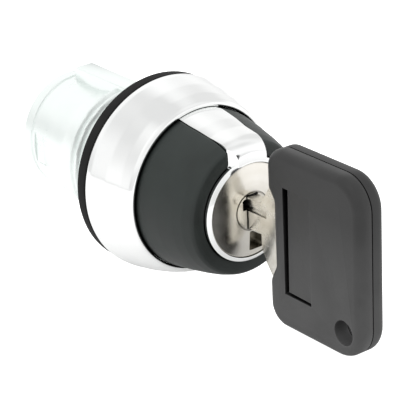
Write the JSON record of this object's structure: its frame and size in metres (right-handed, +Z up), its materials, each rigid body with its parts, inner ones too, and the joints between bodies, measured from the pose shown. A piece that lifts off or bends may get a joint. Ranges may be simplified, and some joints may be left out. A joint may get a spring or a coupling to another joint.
{
  "type": "key-operated selector switch head",
  "caption": "Panel-mount key selector switch head: chromed bezel, black tapered knob with chromed index tab, wafer lock with removable key, threaded barrel and cam-driven pushers.",
  "frame": {"origin": "centre of the flat rear end of the barrel, where a contact block collar seats; the panel plane is 22.5 mm in front of it", "axes": "+Z up to the index tab at 12 o'clock, -Y out of the lock towards the user, +X to the right seen from the front"},
  "size_m": [0.0296, 0.0701, 0.0296],
  "materials": {
    "chrome": "bright chromed zinc casting",
    "diecast": "pale satin plated zinc casting",
    "nickel": "bright nickel plate with turning marks",
    "steel": "spring steel",
    "brass": "turned and stamped brass",
    "black_plastic": "satin moulded black plastic",
    "bow_plastic": "satin moulded dark grey plastic with soft edges",
    "rubber": "matt black rubber",
    "nylon": "natural white nylon"
  },
  "bodies": {
    "housing": {"bezel": "chrome", "barrel_housing": "diecast", "panel_gasket": "rubber", "knob_seal": "rubber", "lock_sleeve": "brass", "detent_spring": "steel", "stop_ring": "steel", "rear_guide": "nylon", "rear_snap_ring": "steel", "pusher_spring_left": "steel", "pusher_spring_right": "steel"},
    "rotor": {"knob_shell": "black_plastic", "index_sleeve": "chrome", "lock_cylinder": "nickel", "lock_nut": "steel", "drive_cam": "nylon", "cam_screw": "steel", "wafer_spring_1": "steel", "wafer_spring_2": "steel", "wafer_spring_3": "steel", "wafer_spring_4": "steel", "wafer_spring_5": "steel", "wafer_spring_6": "steel"},
    "wafers_upper": {"wafer_1": "brass", "wafer_3": "brass", "wafer_5": "brass"},
    "wafers_lower": {"wafer_2": "brass", "wafer_4": "brass", "wafer_6": "brass"},
    "key": {"key_blade": "nickel", "key_bow_left": "bow_plastic", "key_bow_right": "bow_plastic"},
    "pusher_left": {"pusher_left": "nylon"},
    "pusher_right": {"pusher_right": "nylon"}
  },
  "joints": [
    {"name": "key_turn", "type": "hinge", "parent": "housing", "child": "rotor", "pos_m": [0, -0.0225, 0], "axis": [0, 1, 0], "range_deg": [-45, 45]},
    {"name": "key_slide", "type": "slide", "parent": "rotor", "child": "key", "axis": [0, -1, 0], "range_m": [0, 0.026]},
    {"name": "wafers_upper_slide", "type": "slide", "parent": "rotor", "child": "wafers_upper", "axis": [0, 0, 1], "range_m": [0, 0.0009], "deforming": ["wafer_spring_1", "wafer_spring_3", "wafer_spring_5"]},
    {"name": "wafers_lower_slide", "type": "slide", "parent": "rotor", "child": "wafers_lower", "axis": [0, 0, -1], "range_m": [0, 0.0009], "deforming": ["wafer_spring_2", "wafer_spring_4", "wafer_spring_6"]},
    {"name": "pusher_left_slide", "type": "slide", "parent": "housing", "child": "pusher_left", "axis": [0, 1, 0], "range_m": [-0.002, 0.002], "deforming": ["pusher_spring_left"]},
    {"name": "pusher_right_slide", "type": "slide", "parent": "housing", "child": "pusher_right", "axis": [0, 1, 0], "range_m": [-0.002, 0.002], "deforming": ["pusher_spring_right"]}
  ],
  "couplings": [
    {"joint": "wafers_upper_slide", "follows": "key_slide", "ratio": 0.0346},
    {"joint": "wafers_lower_slide", "follows": "key_slide", "ratio": 0.0346},
    {"joint": "pusher_left_slide", "follows": "key_turn", "m_per_rad": -0.002545},
    {"joint": "pusher_right_slide", "follows": "key_turn", "m_per_rad": 0.002545}
  ]
}
